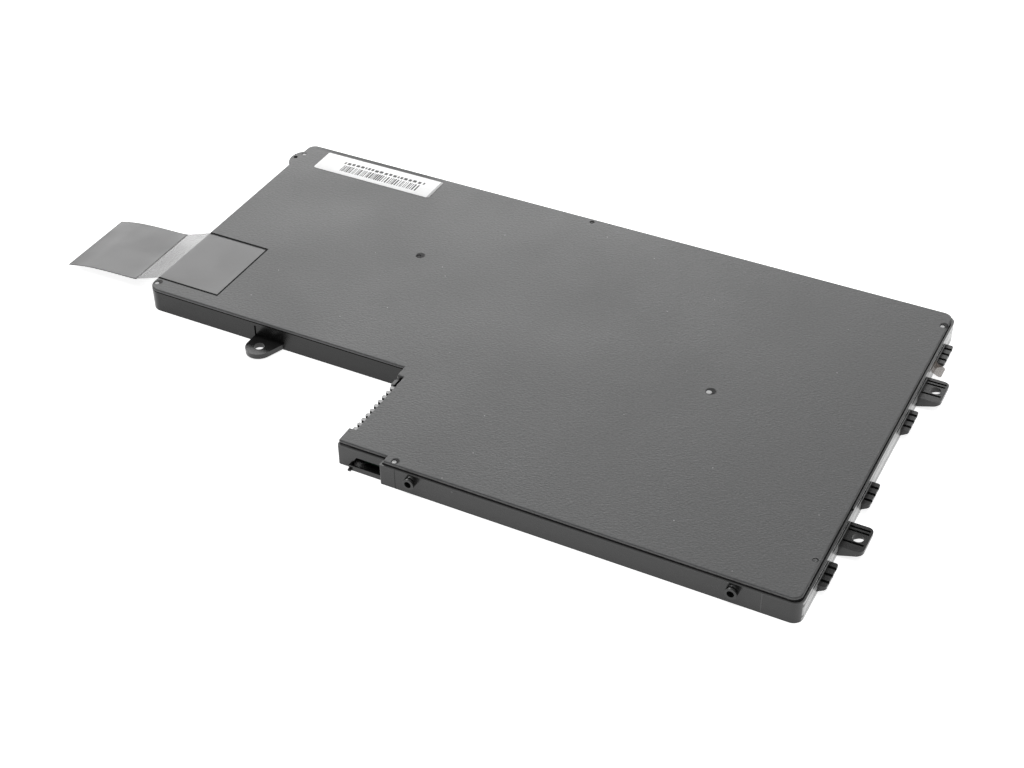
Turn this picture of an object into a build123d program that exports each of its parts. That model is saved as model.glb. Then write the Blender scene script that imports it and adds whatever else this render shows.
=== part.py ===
"""Flat laptop battery pack: a moulded L-shaped tray with its cover, four pouch cells,
a protection board, a comb connector, a barcode label and a film pull tab.

Millimetres, +Z up. The origin is the middle of the tray's full rectangle, on its underside.
X runs along the long side, and the corner that is cut away is at low X and low Y.
"""

import os

from build123d import *

os.makedirs("parts", exist_ok=True)

# Outline of the housing, seen from above
body_length = 235.0
body_width = 139.8
body_height = 8.1
notch_length = 94.4
notch_depth = 41.1
shelf_length = 15.3
shelf_setback = 2.35
corner_radius = 3.0
end_corner_radius = 4.0
notch_corner_radius = 0.7
step_radius = 0.5

# Walls of the tray and how the cover sits in them
wall = 1.2
floor = 0.8
rim_below_seat = 0.3
rim_width = 0.55
groove_width = 0.25
groove_depth = 0.6
groove_end = 4.0
shadow_gap_depth = 0.5
cover_gap = 0.05
cover_thickness = 0.8
cover_edge_radius = 0.4

# Heat-stake pins that hold the cover, each as far from the left and near walls as shown
pin_radius = 0.65
pin_boss = 2.4
pin_hole_radius = 0.85
pin_below_top = 0.35
far_pin_from_left = 111.3
far_pin_from_far = 2.0
near_pin_from_left = 113.6
near_pin_from_near = 1.95
right_pin_from_right = 2.4
right_pin_1_from_near = 16.8
right_pin_2_from_near = 132.3
end_pin_from_left = 1.6
end_pin_from_notch = 3.3
ear_pin_from_left = 1.3
ear_pin_from_far = 7.1

# Ribs of the tray that keep the cells apart, with a pin on each long rib
rib = 1.2
rib_1_from_left = 69.3
rib_1_pin_from_near = 94.6
rib_2_from_left = 136.8
cross_rib_from_near = 70.2
cross_rib_pin_from_left = 180.8
rib_below_cover = 0.6
rib_end_gap = 0.5

# Round ear on the left wall near the far corner
ear_from_far = 10.0
ear_from_left = 4.0
ear_radius = 6.2
ear_depth = 2.4
ear_hole_radius = 0.75
ear_hole_outside = 0.4

# Tongue with a screw hole on the wall of the notch
tongue_hole_from_left = 44.8
tongue_hole_from_wall = 4.2
tongue_hole_radius = 1.7
tongue_end_radius = 4.4
tongue_flare = 6.5
tongue_thickness = 1.7
tongue_top = 2.2
tongue_recess_length = 10.7
tongue_recess_height = 3.8
tongue_recess_depth = 0.4
tongue_recess_shift = 2.0
tongue_root = 0.6

# Grips and screw lugs along the right wall, all with one spacing
side_feature_pitch = 35.67
grip_from_near = 17.4
grip_count = 4
grip_length = 10.0
grip_reach = 2.5
side_feature_top = 3.95
side_feature_root = 0.4
grip_outer_height = 0.9
grip_wall_height = 2.7
grip_groove_width = 0.95
grip_groove_depth = 0.7
grip_groove_count = 3
grip_groove_from_wall = 0.2
grip_corner_radius = 0.7
lug_from_near = 34.3
lug_length = 10.8
lug_reach = 6.9
lug_outer_height = 1.2
lug_wall_height = 3.6
lug_corner_radius = 1.8
lug_hole_from_wall = 3.85
lug_hole_radius = 1.65
lug_eye_thickness = 1.1
lug_pocket_radius = 2.3
lug_groove_width = 0.75
lug_groove_depth = 0.7
lug_groove_end_wall = 0.7
lug_groove_from_wall = 0.3
lug_groove_pitch = 1.4

# Hollow pegs that stand out of the near wall
peg_1_from_left = 120.0
peg_2_from_left = 216.3
peg_radius = 1.8
peg_height = 5.0
peg_reach = 2.0
peg_groove_depth = 0.45
peg_groove_width = 0.5
peg_ring_width = 0.6
peg_hole_radius = 1.05
peg_hole_depth = 1.5
peg_root = 0.3

# Slot in the wall of the shelf, with a lip in front of it and a small foot on the lip
lip_length = 11.1
lip_reach = 1.05
lip_top = 1.7
lip_wall = 0.45
lip_root = 0.4
lip_slot_top = 4.3
lip_slot_slant = 1.7
lip_foot_length = 0.9
lip_foot_reach = 0.7
lip_foot_height = 0.6

# Comb connector in the notch wall
connector_from_near = 21.6
slot_count = 9
slot_pitch = 2.35
slot_width = 1.0
slot_depth = 4.6
end_rib_width = 1.4
nose_radius = 0.55
connector_setback = 0.3
connector_depth = 7.0
connector_clearance = 0.2
connector_base = 0.7
connector_headroom = 0.5
cover_setback = 2.3
cover_cut_margin = 0.9
end_slot_width = 1.1
end_slot_offset = 2.8
end_slot_depth = 1.6

# Fork contacts, one in each slot
contact_sheet = 0.16
contact_height = 3.0
contact_mouth = 0.34
contact_pinch = 0.16
contact_back = 0.34
contact_front_clearance = 1.1
contact_back_clearance = 0.2
contact_pinch_from_mouth = 0.9
tail_width = 0.6
tail_thickness = 0.2
tail_length = 2.2
tail_clearance = 0.04

# Pouch cells, each on its strip of double-sided tape
cell_width = 63.4
cell_body_length = 83.5
cell_thickness = 5.5
cell_edge = 0.8
terrace_length = 5.6
terrace_margin = 2.2
terrace_height = 1.0
terrace_thickness = 0.65
cell_end_clearance = 3.0
tape_thickness = 0.15
tape_margin = 6.0
cell_tab_width = 5.0
cell_tab_thickness = 0.15
cell_tab_height = 1.25
cell_tab_1_offset = 22.0
cell_tab_2_offset = 12.0
cell_tab_fold_reach = 0.6

# Nickel strips from the two cells that are away from the board
strip_width = 1.7
strip_thickness = 0.2
strip_spacing = 0.4
lane_from_cell = 0.2
landing_length = 5.0
landing_margin = 0.3
strip_tail_1_from_board = 3.6
strip_tail_2_from_board = 7.8
strip_tail_3_from_board = 7.0
strip_tail_4_from_board = 2.6

# Protection board and its parts
board_thickness = 0.8
board_gap = 0.2
board_edge_gap = 3.4
board_to_cells = 3.3
board_side_gap = 1.6
board_support_height = 0.6
board_support = 3.0
board_support_inset = 3.0
chip_size = 6.0
chip_height = 0.9
chip_from_near = 24.0
chip_from_connector = 12.0
mosfet_length = 3.3
mosfet_width = 3.0
mosfet_height = 0.8
mosfet_gap = 1.4
mosfet_from_near = 12.0
mosfet_from_connector = 22.0
fuse_length = 4.6
fuse_width = 3.2
fuse_height = 1.1
fuse_from_near = 29.0
fuse_from_connector = 24.0
resistor_length = 6.3
resistor_width = 3.2
resistor_height = 0.7
resistor_from_near = 19.0
resistor_from_connector = 22.0
thermistor_length = 2.0
thermistor_width = 1.2
thermistor_height = 0.9
thermistor_from_near = 34.5
thermistor_from_connector = 14.0

# Paper label on the cover
label_length = 46.05
label_width = 10.8
label_from_left = 8.85
label_from_far = 2.3
label_thickness = 0.1
label_corner_radius = 0.8

# Pull tab of clear film: stuck on in a window of the cover, then free beyond the left wall
tab_window_length = 22.95
tab_width = 28.75
tab_from_near = 61.62
tab_recess_depth = 0.3
tab_window_gap = 0.3
tab_film = 0.18
tab_fold_start = 9.8
tab_bend_radius = 1.0
tab_sag_radius = 14.0
tab_edge_x = 0.1
tab_slope_x = 2.3
tab_slope_z = 7.1
tab_level_x = 9.3
tab_level_z = 4.6
tab_droop_x = 22.5
tab_droop_z = 4.05
tab_dip_x = 30.0
tab_dip_z = 3.45
tab_reach = 38.0
tab_end_z = 1.9

# Scrap of old tape that clings to the right wall
scrap_from_near = 116.6
scrap_length = 5.2
scrap_film = 0.12
scrap_top = 5.2
scrap_bend = 3.9
scrap_tip = 2.6
scrap_reach = 3.3
scrap_bend_radius = 0.8

# Lines and levels worked out from the sizes above
left_x = -body_length / 2
right_x = body_length / 2
near_y = -body_width / 2
far_y = body_width / 2
notch_x = left_x + notch_length
notch_y = near_y + notch_depth
shelf_x = notch_x + shelf_length
shelf_y = near_y + shelf_setback
cover_bottom = body_height - cover_thickness
rim_top = cover_bottom - rim_below_seat
seat_inset = rim_width + groove_width
cell_bottom = floor + tape_thickness
board_bottom = floor + board_support_height
board_top = board_bottom + board_thickness
film_seat = body_height - tab_recess_depth


def housing_outline(rim_inset, flush_side_inset, radius):
    """The L-shaped outline: rim_inset on the walls that stand up beside the cover,
    flush_side_inset on the walls that the cover reaches over."""
    left = left_x + flush_side_inset
    far = far_y - flush_side_inset
    right = right_x - rim_inset
    inner_x = notch_x + flush_side_inset
    inner_y = notch_y + flush_side_inset
    shelf = shelf_y + rim_inset
    step = shelf_x + rim_inset
    near = near_y + rim_inset
    corners = [
        (left, far),
        (left, inner_y),
        (inner_x, inner_y),
        (inner_x, shelf),
        (step, shelf),
        (step, near),
        (right, near),
        (right, far),
    ]
    end_radius = radius + end_corner_radius - corner_radius
    notch_radius = min(notch_corner_radius, radius)
    radii = [radius, end_radius, 0, notch_radius, 0, step_radius, radius, radius]
    with BuildSketch() as outline:
        with BuildLine():
            FilletPolyline(*corners, radius=radii, close=True)
        make_face()
    return outline.sketch


outer_outline = housing_outline(0, 0, corner_radius)
cavity_outline = housing_outline(wall, wall, corner_radius - wall)
seat_radius = corner_radius - shadow_gap_depth
rim_outline = housing_outline(rim_width, shadow_gap_depth, seat_radius)
seat_outline = housing_outline(seat_inset, shadow_gap_depth, seat_radius)
cover_outline = housing_outline(seat_inset + cover_gap, cover_gap, corner_radius - cover_gap)

# Pins of the cover, and the ribs that carry two of them
rib_1_x = left_x + rib_1_from_left
rib_2_x = left_x + rib_2_from_left
cross_rib_y = near_y + cross_rib_from_near
rib_height = cover_bottom - rib_below_cover - floor
ear_center = (left_x + ear_from_left, far_y - ear_from_far)
ear_hole = (left_x - ear_hole_outside, far_y - ear_from_far)
wall_pins = [
    (left_x + far_pin_from_left, far_y - far_pin_from_far),
    (left_x + near_pin_from_left, near_y + near_pin_from_near),
    (right_x - right_pin_from_right, near_y + right_pin_1_from_near),
    (right_x - right_pin_from_right, near_y + right_pin_2_from_near),
    (left_x + end_pin_from_left, notch_y + end_pin_from_notch),
    (left_x + ear_pin_from_left, far_y - ear_pin_from_far),
]
rib_pins = [
    (rib_1_x, near_y + rib_1_pin_from_near),
    (left_x + cross_rib_pin_from_left, cross_rib_y),
]
pins = wall_pins + rib_pins

# Cells: two stand with their tabs towards the near side, two lie with theirs to the left
cell_length = cell_body_length + terrace_length
cell_near = far_y - wall - cell_end_clearance - cell_length
cell_left = right_x - wall - cell_end_clearance - cell_length
upright_y = cell_near + cell_length / 2
lying_x = cell_left + cell_length / 2
cell_places = [
    ((left_x + wall + rib_1_x - rib / 2) / 2, upright_y, 0),
    ((rib_1_x + rib_2_x) / 2, upright_y, 0),
    (lying_x, (cross_rib_y + rib / 2 + far_y - wall) / 2, -90),
    (lying_x, (near_y + wall + cross_rib_y - rib / 2) / 2, -90),
]
rib_near = cell_near + terrace_length + rib_end_gap
rib_far = far_y - wall
cross_rib_left = cell_left + terrace_length + rib_end_gap
cross_rib_right = right_x - wall

# Connector, its slots, and the board behind it
slot_row_length = (slot_count - 1) * slot_pitch + slot_width
connector_width = slot_row_length + 2 * end_rib_width
connector_y = near_y + connector_from_near
connector_near = connector_y - connector_width / 2
connector_far = connector_y + connector_width / 2
connector_front = notch_x + connector_setback
connector_back = connector_front + connector_depth
connector_top = cover_bottom - connector_headroom
slot_ys = [connector_y + (i - (slot_count - 1) / 2) * slot_pitch for i in range(slot_count)]
slot_end = connector_front + slot_depth
board_left = connector_back + board_gap
board_right = rib_2_x - board_side_gap
board_near = near_y + wall + board_edge_gap
board_far = cell_near - board_to_cells
board_x = (board_left + board_right) / 2
board_y = (board_near + board_far) / 2
support_x = board_x - board_left - board_support_inset
support_y = board_y - board_near - board_support_inset

# Grips and lugs, with one spacing along the right wall
grip_ys = [near_y + grip_from_near + i * side_feature_pitch for i in range(grip_count)]
lug_ys = [near_y + lug_from_near, near_y + lug_from_near + 2 * side_feature_pitch]
lug_hole_x = right_x + lug_hole_from_wall


def side_block(length, reach, outer_height, wall_height, radius):
    """A block on the right wall with a level top, a bottom that rises outwards and
    rounded outer corners, centred on Y = 0."""
    root = right_x - side_feature_root
    tip = right_x + reach
    with BuildPart() as block:
        with BuildSketch(Plane.XZ.offset(-length / 2)):
            with BuildLine():
                Polyline(
                    (root, side_feature_top),
                    (root, side_feature_top - wall_height),
                    (tip, side_feature_top - outer_height),
                    (tip, side_feature_top),
                    close=True,
                )
            make_face()
        extrude(amount=length)
        outer_corners = block.edges().filter_by(Axis.Z).group_by(Axis.X)[-1]
        fillet(outer_corners, radius=radius)
    return block.part


# One grip: a block with open grooves across its top
grip_block = side_block(
    grip_length, grip_reach, grip_outer_height, grip_wall_height, grip_corner_radius
)
with BuildPart() as grip:
    add(grip_block)
    grip_groove_pitch = grip_length / (grip_groove_count + 0.5)
    with BuildSketch(Plane.XY.offset(side_feature_top - grip_groove_depth)):
        with Locations((right_x + grip_groove_from_wall + grip_reach / 2, 0)):
            with GridLocations(0, grip_groove_pitch, 1, grip_groove_count):
                Rectangle(grip_reach, grip_groove_width)
    extrude(amount=grip_groove_depth, mode=Mode.SUBTRACT)

# One screw lug: a block with closed grooves, a hole and a pocket under its eye
lug_block = side_block(
    lug_length, lug_reach, lug_outer_height, lug_wall_height, lug_corner_radius
)
lug_groove_length = lug_reach - lug_groove_end_wall - lug_groove_from_wall
lug_groove_x = right_x + lug_groove_from_wall + lug_groove_length / 2
lug_groove_y = lug_hole_radius + lug_groove_width
lug_groove_ys = [-lug_groove_y, lug_groove_y, lug_groove_y + lug_groove_pitch]
with BuildPart() as lug:
    add(lug_block)
    with BuildSketch(Plane.XY.offset(side_feature_top - lug_groove_depth)):
        with Locations([(lug_groove_x, y) for y in lug_groove_ys]):
            Rectangle(lug_groove_length, lug_groove_width)
    extrude(amount=lug_groove_depth, mode=Mode.SUBTRACT)
    with BuildSketch():
        with Locations((lug_hole_x, 0)):
            Circle(lug_pocket_radius)
    extrude(amount=side_feature_top - lug_eye_thickness, mode=Mode.SUBTRACT)
    with BuildSketch():
        with Locations((lug_hole_x, 0)):
            Circle(lug_hole_radius)
    extrude(amount=side_feature_top, mode=Mode.SUBTRACT)

# One peg: a turned form with a groove behind its front ring, and a blind hole
peg_neck = peg_radius - peg_groove_depth
with BuildPart() as peg:
    with BuildSketch():
        with BuildLine():
            Polyline(
                (0, peg_root),
                (peg_radius, peg_root),
                (peg_radius, -peg_reach + peg_ring_width + peg_groove_width),
                (peg_neck, -peg_reach + peg_ring_width + peg_groove_width),
                (peg_neck, -peg_reach + peg_ring_width),
                (peg_radius, -peg_reach + peg_ring_width),
                (peg_radius, -peg_reach),
                (peg_hole_radius, -peg_reach),
                (peg_hole_radius, -peg_reach + peg_hole_depth),
                (0, -peg_reach + peg_hole_depth),
                close=True,
            )
        make_face()
    revolve(axis=Axis.Y)

# Tray: one moulding with its walls, floor, ribs, pins, ear, tongue, lugs, grips and pegs
tongue_x = left_x + tongue_hole_from_left
tongue_y = notch_y - tongue_hole_from_wall
recess_x = tongue_x + tongue_end_radius - tongue_recess_length / 2 + tongue_recess_shift
lip_left = shelf_x - lip_length
lip_x = shelf_x - lip_length / 2
end_slot_y = connector_far + end_slot_offset + end_slot_width / 2
rib_y = (rib_near + rib_far) / 2
with BuildPart() as tray:
    # The outer form up to the seat of the cover, with the round ear on the left wall
    with BuildSketch():
        add(outer_outline)
    extrude(amount=cover_bottom)
    with BuildSketch(Plane.XY.offset(body_height - ear_depth)):
        with Locations(ear_center):
            Circle(ear_radius)
    extrude(amount=ear_depth - cover_thickness)
    with BuildSketch(Plane.XY.offset(floor)):
        add(cavity_outline)
    extrude(amount=body_height, mode=Mode.SUBTRACT)

    # Ribs, pins on their bosses, and the posts of the board
    with BuildSketch(Plane.XY.offset(floor)):
        with Locations((rib_1_x, rib_y), (rib_2_x, rib_y)):
            Rectangle(rib, rib_far - rib_near)
        with Locations(((cross_rib_left + cross_rib_right) / 2, cross_rib_y)):
            Rectangle(cross_rib_right - cross_rib_left, rib)
    extrude(amount=rib_height)
    with BuildSketch(Plane.XY.offset(floor)):
        with Locations(pins):
            Rectangle(pin_boss, pin_boss)
        add(outer_outline, mode=Mode.INTERSECT)
    extrude(amount=cover_bottom - floor)
    with BuildSketch(Plane.XY.offset(cover_bottom)):
        with Locations(pins):
            Circle(pin_radius)
    extrude(amount=cover_thickness - pin_below_top)
    with BuildSketch(Plane.XY.offset(floor)):
        with Locations((board_x, board_y)):
            with GridLocations(2 * support_x, 2 * support_y, 2, 2):
                Rectangle(board_support, board_support)
    extrude(amount=board_support_height)

    # The step round the seat: a rim with a groove, or the dark joint under a flush edge
    with BuildSketch(Plane.XY.offset(rim_top)):
        add(outer_outline)
        with Locations(ear_center):
            Circle(ear_radius)
        add(seat_outline, mode=Mode.SUBTRACT)
        with Locations(ear_center):
            Circle(ear_radius - shadow_gap_depth, mode=Mode.SUBTRACT)
    extrude(amount=rim_below_seat, mode=Mode.SUBTRACT)
    with BuildSketch(Plane.XY.offset(rim_top - groove_depth)):
        add(rim_outline)
        add(seat_outline, mode=Mode.SUBTRACT)
        with Locations((right_x, far_y), (notch_x, shelf_y)):
            Rectangle(2 * groove_end, 2 * groove_end, mode=Mode.SUBTRACT)
    extrude(amount=groove_depth, mode=Mode.SUBTRACT)
    with BuildSketch(Plane.XY.offset(body_height - ear_depth)):
        with Locations(ear_hole):
            Circle(ear_hole_radius)
    extrude(amount=ear_depth, mode=Mode.SUBTRACT)

    # Window of the connector in the notch wall, and the narrow slot past its far end
    with BuildSketch(Plane.XY.offset(floor)):
        with Locations((notch_x + wall / 2, connector_y)):
            Rectangle(2 * wall, connector_width + 2 * connector_clearance)
    extrude(amount=body_height, mode=Mode.SUBTRACT)
    with BuildSketch(Plane.XY.offset(cover_bottom - end_slot_depth)):
        with Locations((notch_x + wall / 2, end_slot_y)):
            Rectangle(2 * wall, end_slot_width)
    extrude(amount=body_height, mode=Mode.SUBTRACT)

    # Tongue on the notch wall and the shallow recess above it
    with BuildSketch(Plane.XY.offset(tongue_top - tongue_thickness)):
        with BuildLine():
            CenterArc((tongue_x, tongue_y), tongue_end_radius, 0, 360)
            Line(
                (tongue_x - tongue_end_radius, notch_y + tongue_root),
                (tongue_x + tongue_flare, notch_y + tongue_root),
            )
        make_hull()
    extrude(amount=tongue_thickness)
    with BuildSketch(Plane.XY.offset(tongue_top)):
        with Locations((recess_x, notch_y)):
            Rectangle(tongue_recess_length, 2 * tongue_recess_depth)
    extrude(amount=tongue_recess_height, mode=Mode.SUBTRACT)
    with BuildSketch():
        with Locations((tongue_x, tongue_y)):
            Circle(tongue_hole_radius)
    extrude(amount=tongue_top, mode=Mode.SUBTRACT)

    # Lip in front of the shelf's wall with its small foot, and the slot that opens above it
    with BuildSketch():
        with Locations((lip_x, shelf_y - lip_reach / 2 + lip_root / 2)):
            Rectangle(lip_length, lip_reach + lip_root)
    extrude(amount=lip_top)
    with BuildSketch():
        with Locations((lip_left + lip_foot_length / 2, shelf_y - lip_reach)):
            Rectangle(lip_foot_length, 2 * lip_foot_reach)
    extrude(amount=lip_foot_height)
    with BuildSketch(Plane.XZ.offset(lip_reach - lip_wall - shelf_y)):
        with BuildLine():
            Polyline(
                (lip_left + lip_wall, floor),
                (lip_left + lip_wall, lip_top),
                (lip_left + lip_wall + lip_slot_slant, lip_slot_top),
                (shelf_x, lip_slot_top),
                (shelf_x, floor),
                close=True,
            )
        make_face()
    extrude(amount=lip_wall - lip_reach - wall, mode=Mode.SUBTRACT)

    # Pegs on the near wall, then the lugs and grips on the right wall
    with Locations(
        (left_x + peg_1_from_left, near_y, peg_height),
        (left_x + peg_2_from_left, near_y, peg_height),
    ):
        add(peg.part)
    with Locations([(0, y, 0) for y in lug_ys]):
        add(lug.part)
    with Locations([(0, y, 0) for y in grip_ys]):
        add(grip.part)
tray.part.label = "tray"
export_step(tray.part, "parts/tray.step")

# Cover: a thin moulded plate with rounded edges, pin holes and the tab's window
cover_cut_near = connector_near - cover_cut_margin
cover_cut_far = end_slot_y + end_slot_width / 2
tab_y = near_y + tab_from_near
with BuildPart() as cover:
    with BuildSketch(Plane.XY.offset(cover_bottom)):
        add(cover_outline)
        with Locations(ear_center):
            Circle(ear_radius - cover_gap)
        with Locations((notch_x, (cover_cut_near + cover_cut_far) / 2)):
            Rectangle(2 * cover_setback, cover_cut_far - cover_cut_near, mode=Mode.SUBTRACT)
    extrude(amount=cover_thickness)
    top_edges = cover.faces().sort_by(Axis.Z)[-1].outer_wire().edges()
    fillet(top_edges, radius=cover_edge_radius)
    with BuildSketch(Plane.XY.offset(cover_bottom)):
        with Locations(pins):
            Circle(pin_hole_radius)
        with Locations(ear_hole):
            Circle(ear_hole_radius)
    extrude(amount=cover_thickness, mode=Mode.SUBTRACT)
    with BuildSketch(Plane.XY.offset(film_seat)):
        with Locations((left_x, tab_y)):
            Rectangle(2 * tab_window_length, tab_width + 2 * tab_window_gap)
    extrude(amount=tab_recess_depth, mode=Mode.SUBTRACT)
cover.part.label = "cover"
export_step(cover.part, "parts/cover.step")

# Pouch cell in its own frame: a drawn pouch and the thin sealed terrace at its near end
terrace_y = (terrace_length - cell_length) / 2
with BuildPart() as cell_form:
    with BuildSketch():
        with Locations((0, terrace_length / 2)):
            Rectangle(cell_width, cell_body_length)
    extrude(amount=cell_thickness)
    chamfer(cell_form.edges(), length=cell_edge)
    with BuildSketch(Plane.XY.offset(terrace_height)):
        with Locations((0, terrace_y + cell_edge)):
            Rectangle(cell_width - 2 * terrace_margin, terrace_length + 2 * cell_edge)
    extrude(amount=terrace_thickness)

for number, (x, y, turn) in enumerate(cell_places, start=1):
    with BuildPart() as cell:
        with Locations(Location((x, y, cell_bottom), (0, 0, turn))):
            add(cell_form.part)
    cell.part.label = f"cell_{number}"
    export_step(cell.part, f"parts/cell_{number}.step")

# Double-sided tape under each cell
for number, (x, y, turn) in enumerate(cell_places, start=1):
    with BuildPart() as tape:
        with BuildSketch(Plane.XY.offset(floor)):
            with Locations(Location((x, y, 0), (0, 0, turn))):
                with Locations((0, terrace_length / 2)):
                    Rectangle(cell_width - 2 * tape_margin, cell_body_length - 2 * tape_margin)
        extrude(amount=tape_thickness)
    tape.part.label = f"tape_{number}"
    export_step(tape.part, f"parts/tape_{number}.step")

# Levels of the cell tabs and the strips that are welded on them
tab_bottom = cell_bottom + cell_tab_height
tab_top = tab_bottom + cell_tab_thickness
fold_top = cell_bottom + terrace_height + terrace_thickness + cell_tab_thickness
lane_near = lane_from_cell
lane_far = lane_from_cell + strip_width + strip_spacing
landing = landing_length - landing_margin


def flat_tab(offset, length):
    """A tab that leaves the end of the terrace and runs straight on."""
    with BuildPart() as form:
        with BuildSketch(Plane.XY.offset(tab_bottom)):
            with Locations((offset, -cell_length / 2 - length / 2)):
                Rectangle(cell_tab_width, length)
        extrude(amount=cell_tab_thickness)
    return form.part


def folded_tab(offset, reach):
    """A tab that leaves the end of the terrace and is folded back over it."""
    end_y = -cell_length / 2
    outer_y = end_y - cell_tab_fold_reach
    inner_y = outer_y + cell_tab_thickness
    with BuildPart() as form:
        with BuildSketch(Plane.YZ.offset(offset - cell_tab_width / 2)):
            with BuildLine():
                Polyline(
                    (end_y, tab_bottom),
                    (outer_y, tab_bottom),
                    (outer_y, fold_top),
                    (end_y + reach, fold_top),
                    (end_y + reach, fold_top - cell_tab_thickness),
                    (inner_y, fold_top - cell_tab_thickness),
                    (inner_y, tab_top),
                    (end_y, tab_top),
                    close=True,
                )
            make_face()
        extrude(amount=cell_tab_width)
    return form.part


# Two tabs on each cell: folded back, straight to the board, or straight to a strip
near_reach = board_to_cells + landing
left_reach = cell_left - board_right + landing
tab_forms = [
    (0, folded_tab(cell_tab_1_offset, lane_near + strip_width)),
    (0, folded_tab(cell_tab_2_offset, lane_far + strip_width)),
    (1, flat_tab(cell_tab_1_offset, near_reach)),
    (1, flat_tab(cell_tab_2_offset, near_reach)),
    (2, flat_tab(cell_tab_1_offset, lane_near + strip_width)),
    (2, flat_tab(cell_tab_2_offset, lane_far + strip_width)),
    (3, flat_tab(cell_tab_1_offset, left_reach)),
    (3, flat_tab(cell_tab_2_offset, left_reach)),
]
for number, (cell_index, form) in enumerate(tab_forms, start=1):
    x, y, turn = cell_places[cell_index]
    with BuildPart() as cell_tab:
        with Locations(Location((x, y, 0), (0, 0, turn))):
            add(form)
    cell_tab.part.label = f"cell_tab_{number}"
    export_step(cell_tab.part, f"parts/cell_tab_{number}.step")

# Strips: a run along the end of the cells and a tail that lands on the board
cell_1_x = cell_places[0][0]
cell_3_y = cell_places[2][1]
half_tab = cell_tab_width / 2
tail_1_x = board_left + strip_tail_1_from_board
tail_2_x = board_left + strip_tail_2_from_board
tail_3_y = board_far - strip_tail_3_from_board
tail_4_y = board_far - strip_tail_4_from_board
near_landing_y = board_far - landing
left_landing_x = board_right - landing
run_1_y = cell_near + lane_near
run_2_y = cell_near + lane_far
run_3_x = cell_left - lane_near - strip_width
run_4_x = cell_left - lane_far - strip_width
strip_bars = [
    (
        fold_top,
        (cell_1_x + cell_tab_1_offset - half_tab, run_1_y, tail_1_x, run_1_y + strip_width),
        (tail_1_x - strip_width, near_landing_y, tail_1_x, run_1_y + strip_width),
    ),
    (
        fold_top,
        (cell_1_x + cell_tab_2_offset - half_tab, run_2_y, tail_2_x, run_2_y + strip_width),
        (tail_2_x - strip_width, near_landing_y, tail_2_x, run_2_y + strip_width),
    ),
    (
        tab_top,
        (run_3_x, tail_3_y, run_3_x + strip_width, cell_3_y - cell_tab_1_offset + half_tab),
        (left_landing_x, tail_3_y, run_3_x + strip_width, tail_3_y + strip_width),
    ),
    (
        tab_top,
        (run_4_x, tail_4_y, run_4_x + strip_width, cell_3_y - cell_tab_2_offset + half_tab),
        (left_landing_x, tail_4_y, run_4_x + strip_width, tail_4_y + strip_width),
    ),
]
for number, (level, *bars) in enumerate(strip_bars, start=1):
    with BuildPart() as strip:
        with BuildSketch(Plane.XY.offset(level)):
            for x0, y0, x1, y1 in bars:
                with Locations(((x0 + x1) / 2, (y0 + y1) / 2)):
                    Rectangle(x1 - x0, y1 - y0)
        extrude(amount=strip_thickness)
    strip.part.label = f"strip_{number}"
    export_step(strip.part, f"parts/strip_{number}.step")

# Protection board, with a raised solder pad under each strip's tail
strip_pads = [
    (fold_top, tail_1_x - strip_width / 2, board_far - landing_length / 2, 90),
    (fold_top, tail_2_x - strip_width / 2, board_far - landing_length / 2, 90),
    (tab_top, board_right - landing_length / 2, tail_3_y + strip_width / 2, 0),
    (tab_top, board_right - landing_length / 2, tail_4_y + strip_width / 2, 0),
]
with BuildPart() as circuit_board:
    with BuildSketch(Plane.XY.offset(board_bottom)):
        with Locations((board_x, board_y)):
            Rectangle(board_right - board_left, board_far - board_near)
    extrude(amount=board_thickness)
    for level, x, y, turn in strip_pads:
        with BuildSketch(Plane.XY.offset(board_top)):
            with Locations(Location((x, y, 0), (0, 0, turn))):
                Rectangle(landing_length, strip_width)
        extrude(amount=level - board_top)
circuit_board.part.label = "circuit_board"
export_step(circuit_board.part, "parts/circuit_board.step")

# Parts on the board: name, place, length, width and height
mosfet_step = (mosfet_length + mosfet_gap) / 2
board_parts = [
    ("gauge_chip", chip_from_connector, chip_from_near, chip_size, chip_size, chip_height),
    (
        "mosfet_1",
        mosfet_from_connector - mosfet_step,
        mosfet_from_near,
        mosfet_length,
        mosfet_width,
        mosfet_height,
    ),
    (
        "mosfet_2",
        mosfet_from_connector + mosfet_step,
        mosfet_from_near,
        mosfet_length,
        mosfet_width,
        mosfet_height,
    ),
    ("fuse", fuse_from_connector, fuse_from_near, fuse_length, fuse_width, fuse_height),
    (
        "sense_resistor",
        resistor_from_connector,
        resistor_from_near,
        resistor_length,
        resistor_width,
        resistor_height,
    ),
    (
        "thermistor",
        thermistor_from_connector,
        thermistor_from_near,
        thermistor_length,
        thermistor_width,
        thermistor_height,
    ),
]
for name, from_connector, from_near, length, width, height in board_parts:
    with BuildPart() as board_part:
        with BuildSketch(Plane.XY.offset(board_top)):
            with Locations((connector_back + from_connector, near_y + from_near)):
                Rectangle(length, width)
        extrude(amount=height)
    board_part.part.label = name
    export_step(board_part.part, f"parts/{name}.step")

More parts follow.
